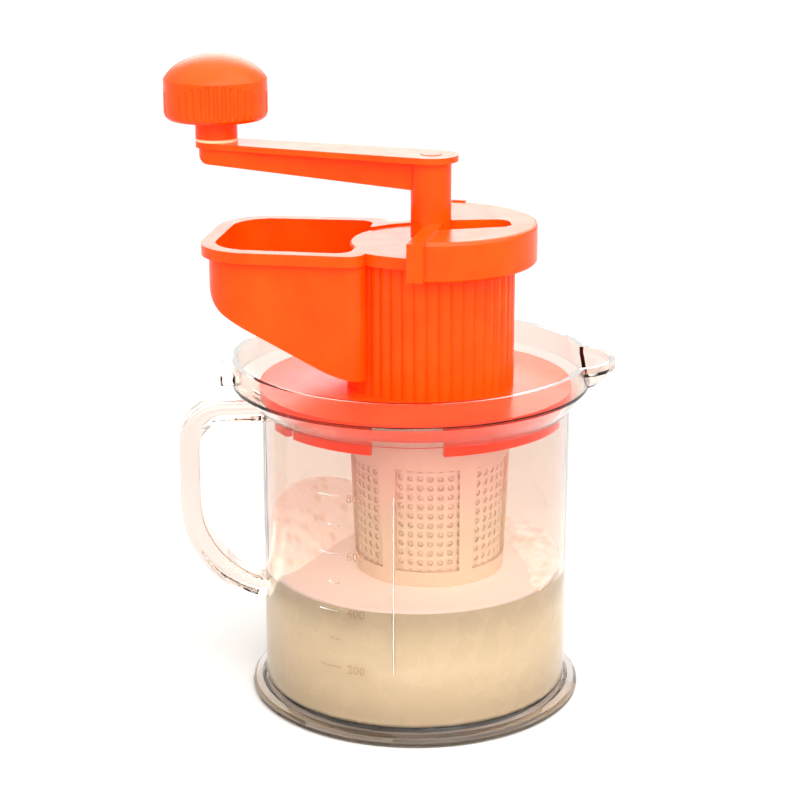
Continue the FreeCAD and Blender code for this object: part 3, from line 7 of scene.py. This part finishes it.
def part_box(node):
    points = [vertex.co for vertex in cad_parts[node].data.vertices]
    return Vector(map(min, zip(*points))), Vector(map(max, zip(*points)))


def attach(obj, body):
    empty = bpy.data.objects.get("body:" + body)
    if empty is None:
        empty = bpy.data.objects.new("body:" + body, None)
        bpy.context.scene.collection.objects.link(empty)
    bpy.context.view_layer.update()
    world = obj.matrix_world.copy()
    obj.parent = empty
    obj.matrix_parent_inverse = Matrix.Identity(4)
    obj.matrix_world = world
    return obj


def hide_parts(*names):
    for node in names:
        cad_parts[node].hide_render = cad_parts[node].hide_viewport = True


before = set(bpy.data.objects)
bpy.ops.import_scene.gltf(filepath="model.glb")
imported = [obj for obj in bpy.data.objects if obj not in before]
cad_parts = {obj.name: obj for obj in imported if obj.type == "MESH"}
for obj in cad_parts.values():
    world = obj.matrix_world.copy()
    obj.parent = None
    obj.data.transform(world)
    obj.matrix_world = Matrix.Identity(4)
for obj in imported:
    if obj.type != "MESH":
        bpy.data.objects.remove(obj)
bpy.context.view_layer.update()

MM = 0.001

# ------------------------------------------------------------------ the clear jug
# One clear plastic moulding: foot ring, wall, flared collar, spout, thumb tab and handle.
# AS plastic, injection moulded and polished, so the eye gets sharp highlights, a warm cast
# where it looks through a long stretch of wall, and slow waves left by the mould.


def linear(hex_colour):
    """An sRGB hex colour as linear red, green and blue."""
    parts = [int(hex_colour[i:i + 2], 16) / 255 for i in (1, 3, 5)]
    return tuple(c / 12.92 if c <= 0.04045 else ((c + 0.055) / 1.055) ** 2.4 for c in parts)


def colour(hex_colour):
    """A linear colour with full alpha, as shader sockets want it."""
    return (*linear(hex_colour), 1.0)


def node(tree, kind, inputs=None, **settings):
    """Adds a shader node, with its settings, and links or sets its inputs."""
    new = tree.nodes.new(kind)
    for name, value in settings.items():
        setattr(new, name, value)
    for name, value in (inputs or {}).items():
        if isinstance(value, bpy.types.NodeSocket):
            tree.links.new(value, new.inputs[name])
        else:
            new.inputs[name].default_value = value
    return new


def material(name, **sockets):
    """A new material, its Principled shader with these sockets set, and its tree."""
    made = bpy.data.materials.new(name)
    made.use_nodes = True
    tree = made.node_tree
    shader = tree.nodes["Principled BSDF"]
    for socket, value in sockets.items():
        shader.inputs[socket.replace("_", " ")].default_value = value
    return made, tree, shader


def dress(names, finish):
    """Gives CAD nodes a material in all their slots."""
    for name in names:
        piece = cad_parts[name]
        for slot in piece.material_slots:
            slot.material = finish
        if not piece.material_slots:
            piece.data.materials.append(finish)


def bump(tree, shader, height, strength, distance):
    """Sends a height into the shader's normal."""
    bumped = node(tree, "ShaderNodeBump", {"Height": height, "Strength": strength, "Distance": distance})
    tree.links.new(bumped.outputs["Normal"], shader.inputs["Normal"])


def place(tree):
    """The shaded point in the object's own frame, in metres."""
    return node(tree, "ShaderNodeTexCoord").outputs["Object"]


def noise(tree, size, detail=2.0):
    """A noise whose blobs are this size in metres."""
    blobs = node(tree, "ShaderNodeTexNoise", {"Vector": place(tree), "Scale": 1 / size, "Detail": detail})
    return blobs.outputs["Fac"]


def ranged(tree, value, start, end, low=0.0, high=1.0, curve="LINEAR"):
    """A value brought from one span to another."""
    return node(tree, "ShaderNodeMapRange", {
        "Value": value, "From Min": start, "From Max": end, "To Min": low, "To Max": high},
        interpolation_type=curve).outputs["Result"]


def noise_range(tree, value, low=0.0, high=1.0):
    """A noise, stretched over the span that it mostly fills."""
    return ranged(tree, value, 0.3, 0.7, low, high)


def vary(tree, shader, socket, value, low, high):
    """Lets a socket run between two values with a noise."""
    tree.links.new(noise_range(tree, value, low, high), shader.inputs[socket])


clear_plastic, tree, shader = material(
    "clear_AS_plastic", Base_Color=colour("#F3E5DC"), IOR=1.49, Transmission_Weight=1.0,
    Specular_Tint=colour("#BFBFBF"))
vary(tree, shader, "Roughness", noise(tree, 11 * MM, 4.0), 0.01, 0.05)
bump(tree, shader, noise(tree, 16 * MM, 1.0), 0.2, 0.3 * MM)
dress(["jug"], clear_plastic)

# ------------------------------------------------------------------ the scale on the jug
# A raised line, ticks and plain numbers on the wall, one tick for each 100 ml.
# They are cut into the mould, so they stand 0.15 mm proud in the same clear plastic and only
# their soft edges catch the light.
jug_radius = 56.5 * MM
jug_wall = 2.0 * MM
jug_floor_top = 4.7 * MM
scale_proud = 0.15 * MM
scale_sunk = 0.02 * MM
scale_edge = 0.22 * MM
scale_turn = math.radians(-90.0)
tick_volume = 100e-6  # cubic metres
tick_rise = tick_volume / (math.pi * (jug_radius - jug_wall) ** 2)
tick_low, tick_high = 2, 8
tick_start = -20 * MM
tick_long = 9 * MM
tick_short = 5 * MM
tick_half = 0.35 * MM
line_width = 0.7 * MM
line_past = 0.2
number_size = 4.6 * MM
number_start = -14 * MM
number_drop = 1.6 * MM


def on_wall(along, height, depth, turn):
    """A point on the jug's wall: along it, up it and out from it, counted from a direction."""
    angle = turn + along / jug_radius
    out = jug_radius + depth
    return Vector((out * math.cos(angle), out * math.sin(angle), height))


def wall_bar(mesh, centre, width, low, high, turn):
    """A raised bar that follows the wall, with its edges drawn in."""
    steps = max(2, round(width / (1.0 * MM)))
    rings = []
    for i in range(steps + 1):
        along = centre + width * (i / steps - 0.5)
        proud = scale_proud - (scale_edge if i in (0, steps) else 0)
        rings.append([mesh.verts.new(on_wall(along, height, depth, turn)) for height, depth in (
            (low, -scale_sunk), (low + scale_edge, proud), (high - scale_edge, proud), (high, -scale_sunk))])
    for left, right in zip(rings, rings[1:]):
        for j in range(3):
            mesh.faces.new((left[j], right[j], right[j + 1], left[j + 1]))
        mesh.faces.new((left[3], right[3], right[0], left[0]))
    mesh.faces.new(rings[0])
    mesh.faces.new(reversed(rings[-1]))


def wall_number(mesh, text, size, along, height, turn):
    """A plain number, raised on the wall."""
    curve = bpy.data.curves.new("number", "FONT")
    curve.body = text
    curve.size = size
    curve.extrude = scale_proud / 2
    curve.resolution_u = 2
    curve.align_x = "CENTER"
    shape = bpy.data.objects.new("number", curve)
    drawn = bpy.data.meshes.new_from_object(shape)
    for vertex in drawn.vertices:
        vertex.co = on_wall(along + vertex.co.x, height + vertex.co.y, vertex.co.z + scale_proud / 2, turn)
    mesh.from_mesh(drawn)
    bpy.data.meshes.remove(drawn)
    bpy.data.objects.remove(shape)
    bpy.data.curves.remove(curve)


def finished(name, mesh, finish, smooth=True):
    """Makes a piece of a bmesh, with its finish."""
    bmesh.ops.recalc_face_normals(mesh, faces=mesh.faces)
    data = bpy.data.meshes.new(name)
    mesh.to_mesh(data)
    mesh.free()
    data.materials.append(finish)
    for face in data.polygons:
        face.use_smooth = smooth
    piece = bpy.data.objects.new(name, data)
    bpy.context.collection.objects.link(piece)
    return piece


mesh = bmesh.new()
line_top = jug_floor_top + (tick_high + line_past) * tick_rise
wall_bar(mesh, 0, line_width, jug_floor_top + tick_low * tick_rise, line_top, scale_turn)
for count in range(tick_low, tick_high + 1):
    level = jug_floor_top + count * tick_rise
    numbered = count % 2 == 0
    reach = tick_long if numbered else tick_short
    wall_bar(mesh, tick_start - reach / 2, reach, level - tick_half, level + tick_half, scale_turn)
    if numbered:
        wall_number(mesh, str(count * 100), number_size, number_start, level - number_drop, scale_turn)
jug_scale = finished("jug_scale", mesh, clear_plastic, smooth=False)
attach(jug_scale, "jug")

# ------------------------------------------------------------------ the orange mouldings
# Body, cover, cap, crank, plug and knob are injection-moulded ABS in one orange, with a high gloss.
# The gloss mirrors the studio on every flat top, and a faint orange peel breaks it up.

orange, tree, shader = material(
    "orange_ABS", IOR=1.53, Specular_IOR_Level=0.13,
    Subsurface_Weight=0.1, Subsurface_Radius=(1.0, 0.25, 0.05), Subsurface_Scale=1.2 * MM)


def blend(tree, shader, share, first, second):
    """Lets the base colour run from one colour to another."""
    mixed = node(tree, "ShaderNodeMix", data_type="RGBA", inputs={0: share})
    colours = [socket for socket in mixed.inputs if socket.type == "RGBA"]
    for socket, hex_colour in zip(colours, (first, second)):
        socket.default_value = colour(hex_colour)
    result = next(socket for socket in mixed.outputs if socket.type == "RGBA")
    tree.links.new(result, shader.inputs["Base Color"])


blend(tree, shader, noise_range(tree, noise(tree, 14 * MM, 3.0)), "#FF3801", "#FF4003")
vary(tree, shader, "Roughness", noise(tree, 6 * MM, 4.0), 0.17, 0.27)
bump(tree, shader, noise(tree, 1.6 * MM), 0.12, 0.05 * MM)
dress(["grinder_body", "feed_cover", "half_cap", "crank_arm", "crank_plug", "crank_knob",
       "crank_set_screw"], orange)

# ------------------------------------------------------------------ washer under the knob
# Moulded in a lighter, softer compound than the knob, so it reads as a pale orange line.

pale_orange, tree, shader = material("pale_orange_polyacetal", Base_Color=colour("#FFB184"))
vary(tree, shader, "Roughness", noise(tree, 2 * MM), 0.3, 0.42)
bump(tree, shader, noise(tree, 0.8 * MM), 0.1, 0.05 * MM)
dress(["knob_washer"], pale_orange)

# ------------------------------------------------------------------ bearing and feed screw
# Natural nylon, moulded: milky, satin and slightly translucent.

nylon, tree, shader = material(
    "natural_nylon", Base_Color=colour("#EFE6D6"), IOR=1.53, Subsurface_Weight=0.2,
    Subsurface_Radius=(1.0, 0.8, 0.6), Subsurface_Scale=1.5 * MM)
vary(tree, shader, "Roughness", noise(tree, 3 * MM), 0.36, 0.5)
bump(tree, shader, noise(tree, 0.8 * MM), 0.1, 0.05 * MM)
dress(["shaft_bush", "feed_auger"], nylon)

# ------------------------------------------------------------------ shaft, burrs and fasteners
# Stainless steel, turned on a lathe and not polished: a grey metal with faint cloudy streaks.

steel, tree, shader = material("turned_stainless_steel", Base_Color=colour("#C9C9C6"), Metallic=1.0)
vary(tree, shader, "Roughness", noise(tree, 0.5 * MM), 0.22, 0.4)
bump(tree, shader, noise(tree, 0.3 * MM), 0.08, 0.02 * MM)
dress(["drive_shaft", "upper_burr", "burr_screws", "lower_burr", "burr_drive_pin", "burr_spring",
       "burr_washer", "adjusting_nut", "crank_screw", "knob_axle"], steel)

# ------------------------------------------------------------------ the filter basket
# Thin polypropylene, moulded and left frosted: light gets through but the shapes behind blur.
# Near the flange it is painted pink, a painted glow standing in for the orange body's light, and lower down
# the milk has stained it cream.

frosted, tree, shader = material(
    "frosted_polypropylene", IOR=1.49, Transmission_Weight=0.2)
# Painted light and real stain: above the second height the basket is painted pink for the orange body's
# glow; below the first it is milk-stained cream.
stain_glow_low = 66 * MM
stain_glow_high = 92 * MM
level = node(tree, "ShaderNodeSeparateXYZ", {"Vector": place(tree)}).outputs["Z"]
painted_glow_over_stain = ranged(tree, level, stain_glow_low, stain_glow_high, curve="SMOOTHSTEP")
blend(tree, shader, painted_glow_over_stain, "#F0DEC6", "#FFD9CE")
vary(tree, shader, "Roughness", noise(tree, 5 * MM, 3.0), 0.35, 0.5)
bump(tree, shader, noise(tree, 1.5 * MM), 0.15, 0.08 * MM)
dress(["filter_basket"], frosted)

# ------------------------------------------------------------------ the perforated sleeve
# A moulded sleeve of the same polypropylene behind the windows, full of round holes in rows.
# Each hole keeps a small raised lip from the mould's pins and is closed by a thin fine screen.
sleeve_low, sleeve_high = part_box("filter_mesh")
sleeve_centre = (sleeve_low + sleeve_high) / 2
sleeve_top_radius = (sleeve_high.x - sleeve_low.x) / 2
sleeve_taper = 1.4 * MM
sleeve_foot_radius = sleeve_top_radius - sleeve_taper
sleeve_wall = 0.6 * MM
hole_pitch = 3.7 * MM
hole_radius = 1.1 * MM
hole_lip = 0.2 * MM
hole_sides = 12
screen_radius = 1.02 * hole_radius
screen_face = 0.3 * MM
screen_back = 0.42 * MM
weld = 0.002 * MM
columns = round(2 * math.pi * sleeve_top_radius / hole_pitch)
rows = round((sleeve_high.z - sleeve_low.z) / hole_pitch)


def on_sleeve(along, up, inset):
    """A point on the sleeve: along and up in metres from its front and foot, and in from its face."""
    share = up / (sleeve_high.z - sleeve_low.z)
    radius = sleeve_foot_radius + share * (sleeve_top_radius - sleeve_foot_radius) - inset
    angle = -math.pi / 2 + along / sleeve_top_radius
    return Vector((sleeve_centre.x + radius * math.cos(angle), radius * math.sin(angle), sleeve_low.z + up))


def sleeve_cell(mesh, along, up, width, height):
    """One square of the sleeve with a round, lipped hole."""
    around = [2 * math.pi * (i + 0.5) / hole_sides for i in range(hole_sides)]
    loops = []
    for reach, inset in (
        (None, 0), (hole_radius + hole_lip, 0), (hole_radius + hole_lip / 2, -hole_lip / 2),
        (hole_radius, 0), (hole_radius, sleeve_wall), (None, sleeve_wall),
    ):
        loop = []
        for angle in around:
            x, z = math.cos(angle), math.sin(angle)
            if reach is None:
                stretch = 1 / max(abs(x), abs(z))
                offset = (x * stretch * width / 2, z * stretch * height / 2)
            else:
                offset = (x * reach, z * reach)
            loop.append(mesh.verts.new(on_sleeve(along + offset[0], up + offset[1], inset)))
        loops.append(loop)
    for inner, outer in zip(loops, loops[1:]):
        for i in range(hole_sides):
            j = (i + 1) % hole_sides
            mesh.faces.new((inner[i], inner[j], outer[j], outer[i]))
    face, back = [[mesh.verts.new(on_sleeve(
        along + screen_radius * math.cos(angle), up + screen_radius * math.sin(angle), inset))
        for angle in around] for inset in (screen_face, screen_back)]
    mesh.faces.new(face)
    mesh.faces.new(reversed(back))
    for i in range(hole_sides):
        j = (i + 1) % hole_sides
        mesh.faces.new((face[i], back[i], back[j], face[j]))


mesh = bmesh.new()
cell_width = 2 * math.pi * sleeve_top_radius / columns
cell_height = (sleeve_high.z - sleeve_low.z) / rows
for column in range(columns):
    for row in range(rows):
        sleeve_cell(mesh, column * cell_width, (row + 0.5) * cell_height, cell_width, cell_height)
bmesh.ops.remove_doubles(mesh, verts=mesh.verts, dist=weld)
for level in (sleeve_low.z, sleeve_high.z):
    rims = [edge for edge in mesh.edges if edge.is_boundary
            and all(abs(vertex.co.z - level) < 5 * weld for vertex in edge.verts)]
    bmesh.ops.bridge_loops(mesh, edges=rims)
perforated_sleeve = finished("perforated_sleeve", mesh, frosted)
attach(perforated_sleeve, "basket")
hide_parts("filter_mesh")

# ------------------------------------------------------------------ soy milk in the jug
# What the jug holds, staged with it: fresh soy milk under a skin of paler cream, with a heap
# of bubbles against the wall on the handle's side and a flatter froth on the other.
milk_level = 48.0 * MM
milk_radius = jug_radius - jug_wall + 0.05 * MM
floor_corner = 2.0 * MM
meniscus = 0.8 * MM
cream_low = milk_level + 0.2 * MM
cream_top = milk_level + 0.4 * MM
lathe_steps = 96

milk_white, tree, shader = material(
    "soy_milk", Base_Color=colour("#C9BC9F"), IOR=1.35, Subsurface_Weight=0.35,
    Subsurface_Radius=(1.0, 0.8, 0.5), Subsurface_Scale=4 * MM)
vary(tree, shader, "Roughness", noise(tree, 8 * MM), 0.15, 0.35)
bump(tree, shader, noise(tree, 9 * MM), 0.3, 0.4 * MM)


def lathe(name, profile, finish):
    """A piece turned round the jug's axis from a profile of (radius, height)."""
    mesh = bmesh.new()
    around = [2 * math.pi * i / lathe_steps for i in range(lathe_steps)]
    rings = [[mesh.verts.new((radius * math.cos(angle), radius * math.sin(angle), height))
              for angle in around] for radius, height in profile]
    for low, high in zip(rings, rings[1:]):
        for i in range(lathe_steps):
            j = (i + 1) % lathe_steps
            mesh.faces.new((low[i], low[j], high[j], high[i]))
    mesh.faces.new(reversed(rings[0]))
    mesh.faces.new(rings[-1])
    return finished(name, mesh, finish)


milk = lathe("soy_milk", [
    (milk_radius - floor_corner, jug_floor_top), (milk_radius, jug_floor_top + floor_corner),
    (milk_radius, milk_level + meniscus), (milk_radius - 0.5 * MM, milk_level + meniscus * 0.3),
    (milk_radius - 2 * MM, milk_level), (20 * MM, milk_level), (4 * MM, milk_level),
], milk_white)

# The cream skin is paler than the milk, and its emission is a painted glow that lifts the milk's top out of
# the shade under the flange.
milk_cream_painted_glow, tree, shader = material(
    "milk_cream_painted_glow", Base_Color=colour("#FCF4EC"), IOR=1.35, Subsurface_Weight=0.2,
    Emission_Color=colour("#FFF4EA"), Emission_Strength=0.15,
    Subsurface_Radius=(1.0, 0.85, 0.7), Subsurface_Scale=2 * MM)
vary(tree, shader, "Roughness", noise(tree, 8 * MM), 0.3, 0.5)
bump(tree, shader, noise(tree, 9 * MM), 0.2, 0.3 * MM)
cream = lathe("milk_cream_painted_glow", [
    (milk_radius - 1 * MM, cream_low), (milk_radius - 4 * MM, cream_top),
    (20 * MM, cream_top), (2 * MM, cream_top),
], milk_cream_painted_glow)

# The froth's emission is a painted glow that lifts it out of the shade inside the jug.
froth_painted_glow, tree, shader = material(
    "milk_froth_painted_glow", IOR=1.35, Subsurface_Weight=0.3,
    Emission_Color=colour("#FFF0E4"), Emission_Strength=0.3,
    Subsurface_Radius=(1.0, 0.85, 0.7), Subsurface_Scale=3 * MM)
bubble_size = 6 * MM
bubbles = node(tree, "ShaderNodeTexVoronoi", {
    "Vector": place(tree), "Scale": 1 / bubble_size}, feature="F1").outputs["Distance"]
blend(tree, shader, ranged(tree, bubbles, 0.2, 0.42), "#EFE3CF", "#FFFBF6")
vary(tree, shader, "Roughness", noise(tree, 3 * MM), 0.15, 0.4)
bump(tree, shader, bubbles, 0.5, 1.2 * MM)


froth_gap = 0.3 * MM
froth_sunk = 0.5 * MM
lumps = ((6 * MM, 1.6 * MM), (2.5 * MM, 0.5 * MM))


def froth(name, middle, spread, rise, inward):
    """A heap of froth against the wall: middle and spread in degrees, its height and how far in it lies."""
    across, down = 40, 16
    mesh = bmesh.new()
    rows = []
    for i in range(across + 1):
        aside = 2 * i / across - 1
        angle = math.radians(middle + spread * aside)
        swell = math.sqrt(max(0.0, 1 - aside * aside))
        row = []
        for j in range(down + 1):
            share = j / down
            out = milk_radius - froth_gap - inward * swell * share ** 1.3
            up = milk_level - froth_sunk + (rise * swell + froth_sunk) * (1 - share ** 2)
            point = Vector((out * math.cos(angle), out * math.sin(angle), up))
            lump = sum(cloud.noise(point / size) * height for size, height in lumps)
            outward = Vector((-math.cos(angle), -math.sin(angle), 0.7))
            point += outward * lump * swell * math.sin(math.pi * share)
            row.append(mesh.verts.new(point))
        rows.append(row)
    for left, right in zip(rows, rows[1:]):
        for j in range(down):
            mesh.faces.new((left[j], right[j], right[j + 1], left[j + 1]))
    finished(name, mesh, froth_painted_glow)


froth("froth_handle_side", 160, 48, 22 * MM, 20 * MM)
froth("froth_spout_side", 22, 50, 5 * MM, 16 * MM)

# ------------------------------------------------------------------ studio
# A pale paper floor, painted lighter where the jug stands as a painted pool of light against the shade under
# and around it,
# under a room of soft light: broad panels overhead, behind, in front and to both sides, and dimmer air at
# eye level.

paper, tree, shader = material("pale_grey_paper", Roughness=0.9)
painted_light_heart = 60 * MM
painted_light_edge = 320 * MM
floor_reach = 6.0
reach = node(tree, "ShaderNodeVectorMath", {0: place(tree)}, operation="LENGTH").outputs["Value"]
# Painted light: the paper is lighter near the jug, a painted pool of light that lifts the shade under and
# around it.
blend(tree, shader, ranged(tree, reach, painted_light_heart, painted_light_edge, curve="SMOOTHSTEP"), "#B6B4B3", "#9B9A9A")
bump(tree, shader, noise(tree, 2 * MM), 0.05, 0.1 * MM)
mesh = bmesh.new()
bmesh.ops.create_grid(mesh, x_segments=12, y_segments=12, size=floor_reach)
floor = finished("studio_floor", mesh, paper)

world = bpy.data.worlds.new("studio_air")
bpy.context.scene.world = world
world.use_nodes = True
air = world.node_tree
direction = node(air, "ShaderNodeTexCoord").outputs["Generated"]
height = node(air, "ShaderNodeSeparateXYZ", {"Vector": direction}).outputs["Z"]


def soft_panel(turn, rise, edge, heart, glow):
    """A round soft light far away: where it is, the angles where it starts and is full, and its glow."""
    turn, rise = math.radians(turn), math.radians(rise)
    aim = (math.cos(rise) * math.cos(turn), math.cos(rise) * math.sin(turn), math.sin(rise))
    near = node(air, "ShaderNodeVectorMath", {0: direction, 1: aim}, operation="DOT_PRODUCT")
    edge, heart = math.cos(math.radians(edge)), math.cos(math.radians(heart))
    return ranged(air, near.outputs["Value"], edge, heart, high=glow, curve="SMOOTHSTEP")


horizon_glow = 0.62
zenith_glow = 1.6
total = ranged(air, height, 0.0, 0.9, horizon_glow, zenith_glow)
for panel in (
    soft_panel(98, 28, 30, 8, 2.8),      # behind
    soft_panel(-78, 30, 45, 20, 5.0),    # in front, over the camera
    soft_panel(-15, 42, 42, 18, 3.2),    # right
    soft_panel(-150, 40, 35, 15, 1.2),   # left
    soft_panel(90, 85, 35, 10, 1.2),     # overhead
):
    total = node(air, "ShaderNodeMath", {0: total, 1: panel}, operation="ADD").outputs["Value"]
air.links.new(total, air.nodes["Background"].inputs["Strength"])
air.nodes["Background"].inputs["Color"].default_value = (1.0, 0.985, 0.965, 1)

view_turn = math.radians(8)
view_pitch = math.radians(16.5)
view_distance = 723 * MM
view_shift = 5.7 * MM
view_height = 325 * MM
sensor_width = 36
focal_share = 2050 / 800  # focal length over the sensor's width
lens = bpy.data.cameras.new("camera")
lens.sensor_width = sensor_width
lens.lens = focal_share * sensor_width
camera = bpy.data.objects.new("camera", lens)
away = Vector((-math.sin(view_turn), math.cos(view_turn), 0))
across = Vector((math.cos(view_turn), math.sin(view_turn), 0))
camera.location = -view_distance * away - view_shift * across + Vector((0, 0, view_height))
camera.rotation_euler = (math.pi / 2 - view_pitch, 0, view_turn)
bpy.context.collection.objects.link(camera)
bpy.context.scene.camera = camera
bpy.context.scene.view_settings.view_transform = "Standard"
